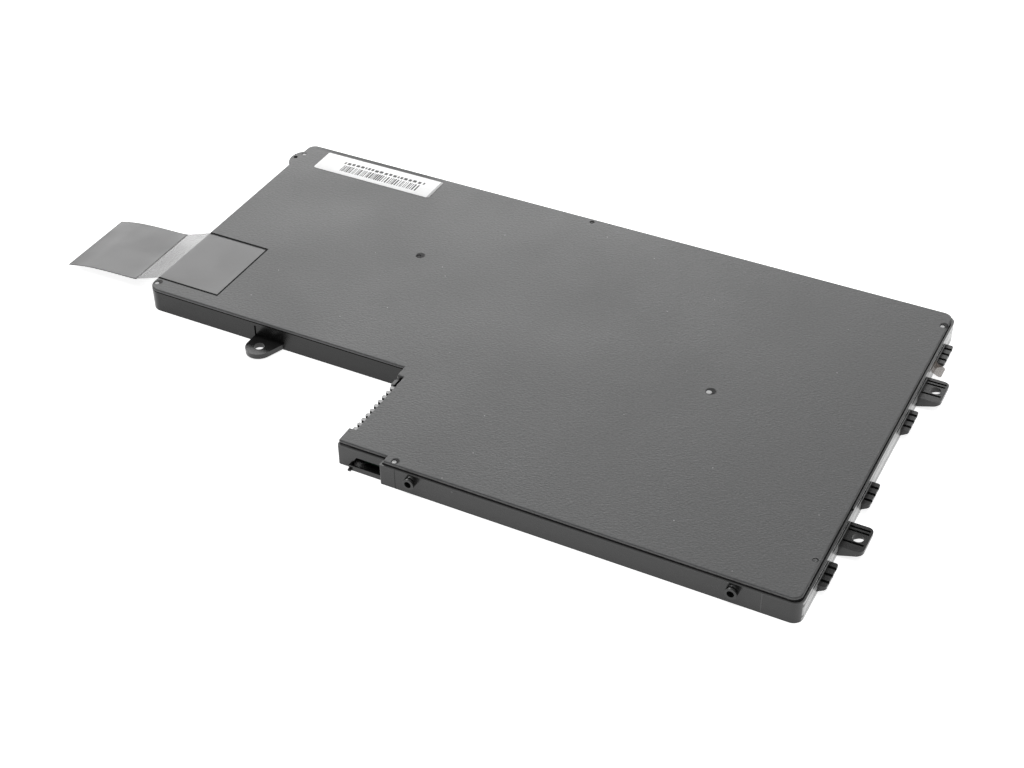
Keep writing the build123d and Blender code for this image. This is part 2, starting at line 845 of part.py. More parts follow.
# Connector: a comb with open slots, rounded noses and a channel for each contact's tail
slot_floor = floor + connector_base
slot_x = (connector_front + slot_end) / 2
with BuildPart() as connector_housing:
    with BuildSketch(Plane.XY.offset(floor)):
        with Locations(((connector_front + connector_back) / 2, connector_y)):
            Rectangle(connector_depth, connector_width)
    extrude(amount=connector_top - floor)
    with BuildSketch(Plane.XY.offset(slot_floor)):
        with Locations([(slot_x, y) for y in slot_ys]):
            Rectangle(slot_depth, slot_width)
    extrude(amount=connector_top - slot_floor, mode=Mode.SUBTRACT)
    upright_edges = connector_housing.edges().filter_by(Axis.Z)
    nose_edges = upright_edges.filter_by_position(
        Axis.X, connector_front - connector_clearance, connector_front + connector_clearance
    )
    fillet(nose_edges, radius=nose_radius)
    with BuildSketch(Plane.YZ.offset(slot_end)):
        with Locations([(y, board_top + tail_thickness / 2) for y in slot_ys]):
            Rectangle(tail_width + 2 * tail_clearance, tail_thickness + 2 * tail_clearance)
    extrude(amount=connector_back - slot_end, mode=Mode.SUBTRACT)
connector_housing.part.label = "connector_housing"
export_step(connector_housing.part, "parts/connector_housing.step")

# Fork contacts: two leaves that pinch towards the mouth, and a tail soldered to the board
mouth_x = connector_front + contact_front_clearance
pinch_x = mouth_x + contact_pinch_from_mouth
web_x = slot_end - contact_back_clearance
mouth_y = (contact_mouth + contact_sheet) / 2
pinch_y = (contact_pinch + contact_sheet) / 2
web_y = (contact_back + contact_sheet) / 2
tail_end_x = board_left + tail_length
for number, slot_y in enumerate(slot_ys, start=1):
    with BuildPart() as contact:
        with BuildSketch(Plane.XY.offset(slot_floor)):
            with BuildLine():
                Polyline(
                    (mouth_x, slot_y - mouth_y),
                    (pinch_x, slot_y - pinch_y),
                    (web_x, slot_y - web_y),
                    (web_x, slot_y + web_y),
                    (pinch_x, slot_y + pinch_y),
                    (mouth_x, slot_y + mouth_y),
                )
            trace(line_width=contact_sheet)
        extrude(amount=contact_height)
        with BuildSketch(Plane.XY.offset(board_top)):
            with Locations(((web_x + tail_end_x) / 2, slot_y)):
                Rectangle(tail_end_x - web_x, tail_width)
        extrude(amount=tail_thickness)
    contact.part.label = f"contact_{number}"
    export_step(contact.part, f"parts/contact_{number}.step")

# Label stuck on the cover
with BuildPart() as label:
    label_x = left_x + label_from_left + label_length / 2
    label_y = far_y - label_from_far - label_width / 2
    with BuildSketch(Plane.XY.offset(body_height)):
        with Locations((label_x, label_y)):
            RectangleRounded(label_length, label_width, label_corner_radius)
    extrude(amount=label_thickness)
label.part.label = "label"
export_step(label.part, "parts/label.step")

# Pull tab: film stuck in the window, one layer to the bend, two layers from there to its end
film_top = film_seat + tab_film
free_points = [
    (left_x - tab_level_x, tab_level_z),
    (left_x - tab_droop_x, tab_droop_z),
    (left_x - tab_dip_x, tab_dip_z),
    (left_x - tab_reach, tab_end_z),
]
bend_slope = (tab_droop_z - tab_level_z) / (tab_droop_x - tab_level_x)
fold_point = (
    left_x - tab_fold_start,
    tab_level_z + bend_slope * (tab_fold_start - tab_level_x),
)
layer_points = [
    (left_x + tab_window_length - tab_window_gap, film_top),
    (left_x - tab_edge_x, film_top),
    (left_x - tab_slope_x, tab_slope_z),
    *free_points,
]
tab_faces = Plane.XZ.offset(-tab_y - tab_width / 2)
with BuildPart() as pull_tab:
    with BuildSketch(tab_faces):
        with BuildLine():
            FilletPolyline(
                *layer_points,
                radius=[tab_edge_x, tab_bend_radius, tab_bend_radius, tab_sag_radius, tab_sag_radius],
            )
            offset(amount=tab_film, side=Side.LEFT, closed=True)
        make_face()
    extrude(amount=tab_width)
    with BuildSketch(tab_faces):
        with BuildLine():
            FilletPolyline(fold_point, *free_points[1:], radius=tab_sag_radius)
            offset(amount=2 * tab_film, side=Side.LEFT, closed=True)
        make_face()
    extrude(amount=tab_width)
pull_tab.part.label = "pull_tab"
export_step(pull_tab.part, "parts/pull_tab.step")

# Scrap of tape on the right wall: flat on the wall, then bent outwards
with BuildPart() as tape_scrap:
    with BuildSketch(Plane.XZ.offset(-near_y - scrap_from_near - scrap_length / 2)):
        with BuildLine():
            FilletPolyline(
                (right_x, scrap_top),
                (right_x, scrap_bend),
                (right_x + scrap_reach, scrap_tip),
                radius=scrap_bend_radius,
            )
            offset(amount=scrap_film, side=Side.LEFT, closed=True)
        make_face()
    extrude(amount=scrap_length)
tape_scrap.part.label = "tape_scrap"
export_step(tape_scrap.part, "parts/tape_scrap.step")
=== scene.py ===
# %% [markdown]
# # A flat laptop battery pack
#
# The object is a thin black box, about as long as a hand with its fingers spread. It is moulded
# in two pieces that are riveted together with melted plastic pins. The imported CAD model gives
# every piece its place. This lesson dresses it: it sets up the camera and the light, gives each
# piece its finish, and models the pieces that plain solids can't show, such as the thin film of
# the pull tab.

import math
import random

import bmesh
import bpy
from mathutils import Matrix, Vector


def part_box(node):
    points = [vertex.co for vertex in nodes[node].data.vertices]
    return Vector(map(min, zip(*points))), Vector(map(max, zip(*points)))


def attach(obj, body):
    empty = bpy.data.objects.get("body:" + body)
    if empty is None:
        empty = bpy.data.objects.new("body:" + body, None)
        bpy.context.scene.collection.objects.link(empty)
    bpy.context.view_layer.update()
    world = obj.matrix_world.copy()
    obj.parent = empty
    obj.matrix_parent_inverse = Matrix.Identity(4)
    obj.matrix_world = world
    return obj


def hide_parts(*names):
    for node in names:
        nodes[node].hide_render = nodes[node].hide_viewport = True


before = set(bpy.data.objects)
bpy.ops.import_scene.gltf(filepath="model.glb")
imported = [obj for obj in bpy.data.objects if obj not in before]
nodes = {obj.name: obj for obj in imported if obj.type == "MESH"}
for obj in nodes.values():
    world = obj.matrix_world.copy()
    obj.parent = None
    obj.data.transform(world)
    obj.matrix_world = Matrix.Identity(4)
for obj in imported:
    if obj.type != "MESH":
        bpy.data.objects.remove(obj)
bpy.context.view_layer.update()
MM = 0.001

# %% [markdown]
# ## Camera
#
# A product photo like this is taken with a long lens from above one corner. The place and the
# turn of the camera were found by fitting the straight edges of the box, so that the render
# lies over the photograph. A matrix holds the three axes of the camera as its columns.

# %% Set the camera
camera_data = bpy.data.cameras.new("product_camera")
camera_data.sensor_width = 36
camera_data.lens = 63.255
camera = bpy.data.objects.new("product_camera", camera_data)
bpy.context.collection.objects.link(camera)
camera_right = Vector((0.89029076, 0.45527616, -0.01029444))
camera_up = Vector((-0.27395664, 0.55350498, 0.78649857))
camera_back = Vector((0.36377207, -0.69739218, 0.61750630))
camera_turn = Matrix((camera_right, camera_up, camera_back)).transposed()
camera_place = Vector((203.218, -392.866, 336.621)) * MM
camera.matrix_world = Matrix.Translation(camera_place) @ camera_turn.to_4x4()
bpy.context.scene.camera = camera
print("camera at", tuple(round(c, 3) for c in camera_place))

# %% [markdown]
# ## Floor
#
# The pack lies on a white table that shows almost no shadow, as on a light box. A plain plane
# does it, with some light of its own. It is large, so that its end stays out of low views.

# %% Make the floor
bpy.ops.mesh.primitive_plane_add(size=20, location=(0, 0, 0))
table = bpy.context.object
table.name = "white_table"
table_white = bpy.data.materials.new("lit_white_table")
table_white.use_nodes = True
table_shader = table_white.node_tree.nodes["Principled BSDF"]
table_shader.inputs["Base Color"].default_value = (0.8, 0.8, 0.8, 1)
table_shader.inputs["Roughness"].default_value = 0.9
table_shader.inputs["Emission Color"].default_value = (1, 1, 1, 1)
table_shader.inputs["Emission Strength"].default_value = 0.8
table.data.materials.append(table_white)
print("table:", tuple(table.dimensions))

# %% [markdown]
# ## Light
#
# A wide panel above gives the even light. The room behind is dim, which keeps smooth black
# plastic black. One panel beyond the far left corner puts a pale sheen on that end of the
# cover, and a weaker one behind the far edge carries it on to the right.


# %% Make the lights
def panel_light(name, place, aim, size, power):
    """A square soft light at place that faces aim."""
    data = bpy.data.lights.new(name, "AREA")
    data.size = size
    data.energy = power
    lamp = bpy.data.objects.new(name, data)
    bpy.context.collection.objects.link(lamp)
    lamp.location = place
    lamp.rotation_euler = (Vector(aim) - Vector(place)).to_track_quat("-Z", "Y").to_euler()


panel_light("top_panel", (0, 0, 1.5), (0, 0, 0), 1.6, 13.5)
panel_light("far_panel", (-0.85, 1.05, 0.6), (-0.05, 0.05, 0), 1.0, 10.5)
panel_light("back_panel", (-0.1, 1.25, 0.5), (0.05, 0.05, 0), 0.8, 4)

world = bpy.data.worlds.new("white_tent")
world.use_nodes = True
background = world.node_tree.nodes["Background"]
background.inputs["Color"].default_value = (1, 1, 1, 1)
background.inputs["Strength"].default_value = 0.3
bpy.context.scene.world = world
bpy.context.scene.view_settings.view_transform = "Standard"

# %% [markdown]
# ## Helpers for materials
#
# Every finish is a small network of shader nodes. Short helpers add a node with its settings,
# join two sockets, spread a value over new limits, mix two colours, and start a material.


# %% Define the node helpers
def add_node(tree, kind, values=None, **settings):
    """A new node with settings on the node and values on its sockets."""
    node = tree.nodes.new(kind)
    for name, value in settings.items():
        setattr(node, name, value)
    for name, value in (values or {}).items():
        node.inputs[name].default_value = value
    return node


def join(tree, source, target):
    """Joins an output socket to an input socket."""
    tree.links.new(source, target)


WHOLE = (0, 1)
NOISE_SPAN = (0.3, 0.7)  # most of a noise lies between these


def spread(tree, value, span, limits):
    """A value that goes from one limit to the other while the source goes over its span."""
    ends = {"From Min": span[0], "From Max": span[1], "To Min": limits[0], "To Max": limits[1]}
    node = add_node(tree, "ShaderNodeMapRange", ends)
    join(tree, value, node.inputs["Value"])
    return node.outputs["Result"]


def grey(level):
    """A colour without a hue."""
    return (level, level, level)


def mix_colours(tree, factor, dark, light):
    """A colour that goes from dark to light with the factor."""
    node = add_node(tree, "ShaderNodeMix", data_type="RGBA")
    node.inputs["A"].default_value = (*dark, 1)
    node.inputs["B"].default_value = (*light, 1)
    join(tree, factor, node.inputs["Factor"])
    return node.outputs["Result"]


print("a spread noise goes from", NOISE_SPAN, "to the limits of its use")

# %% [markdown]
# A material starts with its main shader. An effect that several finishes use is a group with
# named sockets, which is built once and then placed in each material with its own values.


# %% Define the material and group helpers
def start_material(name, **values):
    """A material with its main shader, whose sockets get the values given."""
    material = bpy.data.materials.new(name)
    material.use_nodes = True
    tree = material.node_tree
    shader = tree.nodes["Principled BSDF"]
    for socket, value in values.items():
        shader.inputs[socket.replace("_", " ")].default_value = value
    return material, tree, shader


def add_bump(tree, shader, height, strength, depth):
    """Lets a height raise and lower the surface in the light."""
    bump = add_node(tree, "ShaderNodeBump", {"Strength": strength, "Distance": depth})
    join(tree, height, bump.inputs["Height"])
    join(tree, bump.outputs["Normal"], shader.inputs["Normal"])


def start_group(name, inputs, outputs):
    """A node group with named number inputs, given with their defaults, and number outputs."""
    group = bpy.data.node_groups.new(name, "ShaderNodeTree")
    number = "NodeSocketFloat"
    for socket, value in inputs.items():
        made = group.interface.new_socket(name=socket, in_out="INPUT", socket_type=number)
        made.default_value = value
    for socket in outputs:
        group.interface.new_socket(name=socket, in_out="OUTPUT", socket_type=number)
    entry = group.nodes.new("NodeGroupInput")
    result = group.nodes.new("NodeGroupOutput")
    return group, entry, result


def place_group(tree, group, **values):
    """The group as a node in a material, with its own values."""
    node = tree.nodes.new("ShaderNodeGroup")
    node.node_tree = group
    for socket, value in values.items():
        node.inputs[socket.replace("_", " ")].default_value = value
    return node


print("materials so far:", len(bpy.data.materials))

# %% [markdown]
# ## Effects shared by the finishes
#
# Moulded plastic takes its grain from the mould, which is etched so that the surface looks like
# very fine leather. Two noises of different size, both drawn out along one slanting direction,
# give that look. One of them serves as the tone as well.

# %% Build the grain group
grain, entry, result = start_group(
    "mould_grain", {"Cells per metre": 1100, "Streak": 0.45}, ["Height", "Tone"]
)
slant = {"Scale": (1.6, 1.0, 1.0), "Rotation": (0, 0, 0.45)}
where = add_node(grain, "ShaderNodeTexCoord")
stretch = add_node(grain, "ShaderNodeMapping", slant, vector_type="TEXTURE")
join(grain, where.outputs["Object"], stretch.inputs["Vector"])
fine = add_node(grain, "ShaderNodeTexNoise", {"Detail": 3.0, "Roughness": 0.6})
cells = add_node(grain, "ShaderNodeTexVoronoi", feature="SMOOTH_F1")
for texture in (fine, cells):
    join(grain, stretch.outputs["Vector"], texture.inputs["Vector"])
    join(grain, entry.outputs["Cells per metre"], texture.inputs["Scale"])
blend = add_node(grain, "ShaderNodeMix")
join(grain, entry.outputs["Streak"], blend.inputs["Factor"])
join(grain, cells.outputs["Distance"], blend.inputs["A"])
join(grain, fine.outputs["Fac"], blend.inputs["B"])
join(grain, blend.outputs["Result"], result.inputs["Height"])
join(grain, spread(grain, fine.outputs["Fac"], NOISE_SPAN, WHOLE), result.inputs["Tone"])
print("grain sockets:", [s.name for s in result.inputs][:-1])

# %% [markdown]
# No moulding has quite one tone, and none stays free of dust. A large soft noise gives slow
# changes of tone. The middles of scattered cells, cut off close to their centres, give tiny
# pale specks.

# %% Build the tone and dust groups
drift, entry, result = start_group("slow_tone", {"Patches per metre": 30}, ["Tone"])
where = add_node(drift, "ShaderNodeTexCoord")
cloud = add_node(drift, "ShaderNodeTexNoise", {"Detail": 4.0, "Roughness": 0.55})
join(drift, where.outputs["Object"], cloud.inputs["Vector"])
join(drift, entry.outputs["Patches per metre"], cloud.inputs["Scale"])
join(drift, cloud.outputs["Fac"], result.inputs["Tone"])

dust, entry, result = start_group(
    "dust_specks", {"Specks per metre": 150, "Reach": 0.03}, ["Mask"]
)
where = add_node(dust, "ShaderNodeTexCoord")
spots = add_node(dust, "ShaderNodeTexVoronoi")
join(dust, where.outputs["Object"], spots.inputs["Vector"])
join(dust, entry.outputs["Specks per metre"], spots.inputs["Scale"])
near_centre = add_node(dust, "ShaderNodeMath", operation="LESS_THAN")
join(dust, spots.outputs["Distance"], near_centre.inputs[0])
join(dust, entry.outputs["Reach"], near_centre.inputs[1])
join(dust, near_centre.outputs["Value"], result.inputs["Mask"])
print("groups:", [g.name for g in bpy.data.node_groups])

# %% [markdown]
# ## Marks that keep to their place
#
# Some marks belong to one place on the object, such as the pale band of a wall. A small group
# turns the place of a point into three masks, one along each axis, that go from 0 to 1 between
# two distances. The difference of two such masks picks a slice.

# %% Build the place group
fade, entry, result = start_group("place_fade", {"Low": 0.0, "High": 0.001}, ["X", "Y", "Z"])
where = add_node(fade, "ShaderNodeTexCoord")
parts = add_node(fade, "ShaderNodeSeparateXYZ")
join(fade, where.outputs["Object"], parts.inputs["Vector"])
for axis in "XYZ":
    ramp = add_node(fade, "ShaderNodeMapRange")
    join(fade, parts.outputs[axis], ramp.inputs["Value"])
    join(fade, entry.outputs["Low"], ramp.inputs["From Min"])
    join(fade, entry.outputs["High"], ramp.inputs["From Max"])
    join(fade, ramp.outputs["Result"], result.inputs[axis])


def slice_mask(tree, axis, low, high, soft=0.05):
    """A mask that is 1 between two places in mm along an axis, with soft ends."""
    mask = add_node(tree, "ShaderNodeMath", operation="SUBTRACT")
    for at, socket in zip((low, high), mask.inputs):
        end = place_group(tree, fade, Low=(at - soft) * MM, High=(at + soft) * MM)
        join(tree, end.outputs[axis], socket)
    return mask.outputs["Value"]


def both(tree, first, second):
    """The mask where two masks meet."""
    mask = add_node(tree, "ShaderNodeMath", operation="MULTIPLY")
    join(tree, first, mask.inputs[0])
    join(tree, second, mask.inputs[1])
    return mask.outputs["Value"]


print("place group sockets:", [s.name for s in result.inputs][:-1])

# %% [markdown]
# A mark either lays a colour over the finish or blackens it. A gap is dark because no light
# comes back from it, so it gets a black metal, which mirrors nothing. The unlinked half of a
# Math node counts as 0.5, so it is set to 0 where the finish has no metal yet.


# %% Define the two kinds of mark
def tint(material, mask, colour):
    """Lays a colour over the base colour of a finished material where the mask is 1."""
    tree = material.node_tree
    base = tree.nodes["Principled BSDF"].inputs["Base Color"]
    layer = add_node(tree, "ShaderNodeMix", data_type="RGBA")
    layer.inputs["B"].default_value = (*colour, 1)
    join(tree, base.links[0].from_socket, layer.inputs["A"])
    join(tree, mask, layer.inputs["Factor"])
    join(tree, layer.outputs["Result"], base)


def add_most(tree, mask, socket):
    """Raises what feeds a shader's socket to the mask wherever the mask is more."""
    most = add_node(tree, "ShaderNodeMath", operation="MAXIMUM")
    most.inputs[1].default_value = 0
    join(tree, mask, most.inputs[0])
    if socket.links:
        join(tree, socket.links[0].from_socket, most.inputs[1])
    join(tree, most.outputs["Value"], socket)


def blacken(material, mask, share=1.0):
    """Makes a deep, lightless mark: black, and mirroring nothing, where the mask is 1."""
    tree = material.node_tree
    part = add_node(tree, "ShaderNodeMath", operation="MULTIPLY")
    part.inputs[1].default_value = share
    join(tree, mask, part.inputs[0])
    tint(material, part.outputs["Value"], grey(0.001))
    add_most(tree, part.outputs["Value"], tree.nodes["Principled BSDF"].inputs["Metallic"])


print("kinds of mark:", tint.__name__, blacken.__name__)

# %% [markdown]
# ## Finishes of the housing
#
# The cover and the tray are the same dark plastic, but their moulds differ. The cover's top is
# grained and looks grey, because the grain scatters the light. The tray's walls are nearly
# smooth, so they are darker and mirror the white table. The helper below builds both from the
# shared groups, with other colours, gloss and depth of grain.


# %% Define the plastic helper
def plastic(name, dark, light, gloss, cells_per_metre, depth, speck, specks_per_metre=60):
    """Moulded plastic: tone from the grain and slow patches, dust, and a bump."""
    material, tree, shader = start_material(name)
    surface = place_group(tree, grain, Cells_per_metre=cells_per_metre)
    patches = place_group(tree, drift)
    specks = place_group(tree, dust, Specks_per_metre=specks_per_metre)
    patch_share = 0.45
    tone = add_node(tree, "ShaderNodeMix", {"Factor": patch_share})
    join(tree, surface.outputs["Tone"], tone.inputs["A"])
    join(tree, patches.outputs["Tone"], tone.inputs["B"])
    dusty = add_node(tree, "ShaderNodeMix", data_type="RGBA")
    dusty.inputs["B"].default_value = (*speck, 1)
    join(tree, specks.outputs["Mask"], dusty.inputs["Factor"])
    join(tree, mix_colours(tree, tone.outputs["Result"], dark, light), dusty.inputs["A"])
    join(tree, dusty.outputs["Result"], shader.inputs["Base Color"])
    roughness = spread(tree, patches.outputs["Tone"], NOISE_SPAN, gloss)
    join(tree, roughness, shader.inputs["Roughness"])
    add_bump(tree, shader, surface.outputs["Height"], 1.0, depth)
    return material


# %% [markdown]
# Each plastic then needs only its own numbers: two tones, how dull it is, how fine and how deep
# its grain, and the tone and number of its specks. The comb's pale grey is painted reflection of
# the white table on its noses.

# %% Make the plastics
grained_cover = plastic(
    "grained_cover_plastic", (0.038, 0.0385, 0.039), (0.080, 0.0805, 0.081), (0.40, 0.50),
    2100, 0.00009, grey(0.24), 150,
)
smooth_tray = plastic(
    "smooth_tray_plastic", grey(0.009), grey(0.016), (0.20, 0.30), 700, 0.00002, grey(0.10), 150
)
comb_plastic = plastic(
    "comb_plastic_with_painted_light", grey(0.24), grey(0.42), (0.15, 0.25), 1500, 0.00005, grey(0.4), 150
)
chip_plastic = plastic(
    "black_chip_plastic", (0.018, 0.018, 0.019), (0.032, 0.032, 0.034), (0.45, 0.6),
    2500, 0.00002, grey(0.06), 90,
)
print("plastics:", grained_cover.name, smooth_tray.name, comb_plastic.name, chip_plastic.name)

# %% [markdown]
# The cover stands in the tray with a thin dark line round it. In this light the low part of its
# near side would look like part of that line, so painted light makes it paler, and the top of the
# tray's rim too. These two are painted light, not marks that the real piece carries.

# %% Paint light on the joint between the cover and the tray
tree = grained_cover.node_tree
low_part = slice_mask(tree, "Z", 7.2, 7.75, soft=0.1)
near_side = slice_mask(tree, "Y", -75, -60)
# Painted light lifts the shade of the low part of the cover's near side.
tint(grained_cover, both(tree, low_part, near_side), grey(0.15))
tree = smooth_tray.node_tree
rim_top = slice_mask(tree, "Z", 6.9, 7.1)
# Painted light on the top of the tray's rim.
tint(smooth_tray, rim_top, grey(0.06))
print("rim top is a slice round 7 mm")

# %% [markdown]
# The right wall looks nearly white, because it mirrors the table, with two dark lines along it.
# It gets pale bands of painted reflection that leave those lines free. Two faint upright lines in
# the near wall are a parting line of the mould and a scratch. The wall of the notch gets painted
# shade, with a black joint under the cover. None of these has any depth, so they are masks in the
# finish.

# %% Mark the walls
# Painted reflection of the table: pale bands on the right wall.
painted_reflection_bands = [(-1, 1.2), (1.9, 4.9), (5.9, 6.6)]
right_wall = slice_mask(tree, "X", 117.25, 117.56)
for low, high in painted_reflection_bands:
    band = slice_mask(tree, "Z", low, high)
    tint(smooth_tray, both(tree, right_wall, band), grey(0.32))
near_wall = slice_mask(tree, "Y", -70.0, -69.8)
parting_line = slice_mask(tree, "X", -2.93, -2.69)
blacken(smooth_tray, both(tree, near_wall, parting_line), 0.6)
scratch = slice_mask(tree, "X", 106.56, 106.76)
tint(smooth_tray, both(tree, near_wall, scratch), grey(0.05))
# Painted shade on the wall of the notch.
notch_wall = slice_mask(tree, "Y", -29.3, -28.3)
blacken(smooth_tray, notch_wall, 0.33)
joint_line = slice_mask(tree, "Z", 6.95, 7.35)
blacken(smooth_tray, both(tree, notch_wall, joint_line))
print("pale bands on the right wall:", painted_reflection_bands)

# %% [markdown]
# The noses of the comb are pale on top with painted reflection, and black with painted shade on
# the sides that look into the slots. Those sides all face the near edge, so the direction of the
# surface picks them.

# %% Mark the comb
tree = comb_plastic.node_tree
facing = add_node(tree, "ShaderNodeNewGeometry")
turned = add_node(tree, "ShaderNodeSeparateXYZ")
join(tree, facing.outputs["Normal"], turned.inputs["Vector"])
towards_near = (-0.3, -0.7)
# Painted shade: black on the sides of the noses that face the near edge.
blacken(comb_plastic, spread(tree, turned.outputs["Y"], towards_near, WHOLE))
print("the comb is black where its surface turns below", towards_near[1], "along Y")

# %% [markdown]
# Some pins were pressed deeper than others, and a hollow shows behind their heads, whose shade is
# painted as a dark mark. A small group gives a round mask from a centre and a reach.

# %% Build the round group
round_mark, entry, result = start_group(
    "round_mark", {"Centre X": 0, "Centre Y": 0, "Reach": 0.001}, ["Mask"]
)
where = add_node(round_mark, "ShaderNodeTexCoord")
flat = add_node(round_mark, "ShaderNodeVectorMath", operation="MULTIPLY")
flat.inputs[1].default_value = (1, 1, 0)
centre = add_node(round_mark, "ShaderNodeCombineXYZ")
gap = add_node(round_mark, "ShaderNodeVectorMath", operation="DISTANCE")
share = add_node(round_mark, "ShaderNodeMath", operation="DIVIDE")
join(round_mark, where.outputs["Object"], flat.inputs[0])
join(round_mark, entry.outputs["Centre X"], centre.inputs["X"])
join(round_mark, entry.outputs["Centre Y"], centre.inputs["Y"])
join(round_mark, flat.outputs["Vector"], gap.inputs[0])
join(round_mark, centre.outputs["Vector"], gap.inputs[1])
join(round_mark, gap.outputs["Value"], share.inputs[0])
join(round_mark, entry.outputs["Reach"], share.inputs[1])
soft_edge = (1.1, 0.8)
disc = spread(round_mark, share.outputs["Value"], soft_edge, WHOLE)
join(round_mark, disc, result.inputs["Mask"])
print("round group sockets:", [s.name for s in entry.outputs][:-1])

# %% [markdown]
# Five pins get the painted shade of a hollow, a little larger than their head and set off from
# it, as the heads lie askew. The strip of the cover beyond the label looks darker than the rest
# and is darkened there, with a soft end to the right.

# %% Paint the shade of the hollows and darken the far edge
hollow_shades = [
    (63.6, 1.0, 1.7),
    (-47.9, 25.3, 1.6),
    (115.5, 63.0, 1.4),
    (-115.6, -24.8, 1.3),
    (-3.7, -67.5, 1.3),
]
tree = grained_cover.node_tree
# Painted shade of a hollow behind each of five pin heads.
for x, y, reach in hollow_shades:
    hollow_shade = place_group(
        tree, round_mark, Centre_X=x * MM, Centre_Y=y * MM, Reach=reach * MM
    )
    blacken(grained_cover, hollow_shade.outputs["Mask"], 0.85)
beyond_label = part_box("label")[1][1] / MM + 0.4
along_label = slice_mask(tree, "X", -112, -66, soft=5)
far_strip = slice_mask(tree, "Y", beyond_label, 75, soft=0.3)
blacken(grained_cover, both(tree, along_label, far_strip), 0.55)
print("hollows:", len(hollow_shades), "far edge is darker beyond y =", round(beyond_label, 2), "mm")

# %% [markdown]
# ## Finishes of the hidden pieces
#
# Inside the box lie cells in silvery foil on pale tape, nickel strips, a dark green board and gold
# contacts. Nobody sees them in the photo, but the contacts can be seen in the slots of the comb,
# and a part taken from a library may be opened. Metals get a fine drawn pattern in their
# roughness, the board its lacquer, and the tape and the fuse a soft unevenness.


# %% Define the metal helper
def drawn_metal(name, dark, light, gloss, stretch):
    """Sheet metal with fine lines along one direction."""
    material, tree, shader = start_material(name, Metallic=1.0)
    where = add_node(tree, "ShaderNodeTexCoord")
    lines = add_node(tree, "ShaderNodeMapping", {"Scale": stretch})
    noise = add_node(tree, "ShaderNodeTexNoise", {"Scale": 300.0, "Detail": 4.0})
    join(tree, where.outputs["Object"], lines.inputs["Vector"])
    join(tree, lines.outputs["Vector"], noise.inputs["Vector"])
    pattern = noise.outputs["Fac"]
    join(tree, mix_colours(tree, pattern, dark, light), shader.inputs["Base Color"])
    join(tree, spread(tree, pattern, WHOLE, gloss), shader.inputs["Roughness"])
    add_bump(tree, shader, pattern, 0.4, 0.00003)
    return material


# %% [markdown]
# The foil is even, the nickel is drawn along the strips, and the contacts are stamped upright.
# The board, the tape and the fuse aren't metal, so the plastic helper makes them.

# %% Make the inner finishes
foil = drawn_metal("cell_foil", (0.66, 0.67, 0.69), (0.78, 0.79, 0.81), (0.3, 0.5), (1, 1, 1))
nickel = drawn_metal(
    "nickel_strip", (0.58, 0.57, 0.54), (0.70, 0.69, 0.66), (0.25, 0.45), (8, 1, 1)
)
gold = drawn_metal(
    "contact_gold", (0.72, 0.52, 0.20), (0.84, 0.66, 0.32), (0.18, 0.3), (1, 1, 6)
)
board_lacquer = plastic(
    "dark_board_lacquer", (0.004, 0.022, 0.012), (0.008, 0.034, 0.020), (0.2, 0.3),
    1200, 0.00001, (0.03, 0.08, 0.05),
)
cream_tape = plastic(
    "cream_tape", (0.72, 0.70, 0.62), (0.84, 0.82, 0.75), (0.4, 0.55),
    500, 0.00002, (0.6, 0.58, 0.5),
)
white_ceramic = plastic(
    "white_ceramic", (0.74, 0.75, 0.72), (0.84, 0.85, 0.82), (0.3, 0.4),
    1500, 0.00001, grey(0.6),
)
print("inner finishes:", foil.name, nickel.name, gold.name)

# %% [markdown]
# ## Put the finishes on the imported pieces
#
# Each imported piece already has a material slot. The slot keeps its name in the record, and only
# the material in it changes. A table from the start of a node's name to its finish is enough.

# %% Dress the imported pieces
dress = {
    "tray": smooth_tray,
    "cover": grained_cover,
    "connector_housing": comb_plastic,
    "contact": gold,
    "cell_tab": nickel,
    "cell_": foil,
    "tape_": cream_tape,
    "strip": nickel,
    "circuit_board": board_lacquer,
    "gauge_chip": chip_plastic,
    "mosfet": chip_plastic,
    "fuse": white_ceramic,
    "sense_resistor": chip_plastic,
    "thermistor": chip_plastic,
}
for name, node in nodes.items():
    for start, material in dress.items():
        if name.startswith(start):
            for slot in node.material_slots:
                slot.material = material
            break
    else:
        print("still to be replaced:", name)

# %% [markdown]
# ## Helpers for modelling
#
# New pieces are made as by hand: a primitive is added at its size and place, taken into edit
# mode, shaped there, and finished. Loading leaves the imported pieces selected, so the selection
# is always cleared first. Faces, edges and corners are then picked by a small test on their
# place or direction.


# %% Define the helpers for picking
def clear_selection():
    """Leaves edit mode and deselects everything."""
    if bpy.context.object and bpy.context.object.mode != "OBJECT":
        bpy.ops.object.mode_set(mode="OBJECT")
    bpy.ops.object.select_all(action="DESELECT")


def select_only(piece):
    """Selects one piece and nothing else."""
    clear_selection()
    piece.select_set(True)
    bpy.context.view_layer.objects.active = piece


def edit(piece, kind):
    """Enters edit mode on one piece, with nothing selected. kind is VERT, EDGE or FACE."""
    select_only(piece)
    bpy.ops.object.mode_set(mode="EDIT")
    bpy.ops.mesh.select_mode(type=kind)
    bpy.ops.mesh.select_all(action="DESELECT")


def pick(piece, kind, test):
    """In edit mode, selects the verts, edges or faces that pass the test."""
    mesh = bmesh.from_edit_mesh(piece.data)
    for item in getattr(mesh, kind):
        if test(item):
            item.select_set(True)
    bmesh.update_edit_mesh(piece.data)


def middle(edge):
    """The middle point of an edge."""
    return (edge.verts[0].co + edge.verts[1].co) / 2


clear_selection()
print("selected now:", len(bpy.context.selected_objects))

# %% [markdown]
# A sheet is drawn out of its edge from point to point. A finished piece has its place in its
# mesh and its object at the origin, rides on the one body of the part, and may take the place
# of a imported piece.


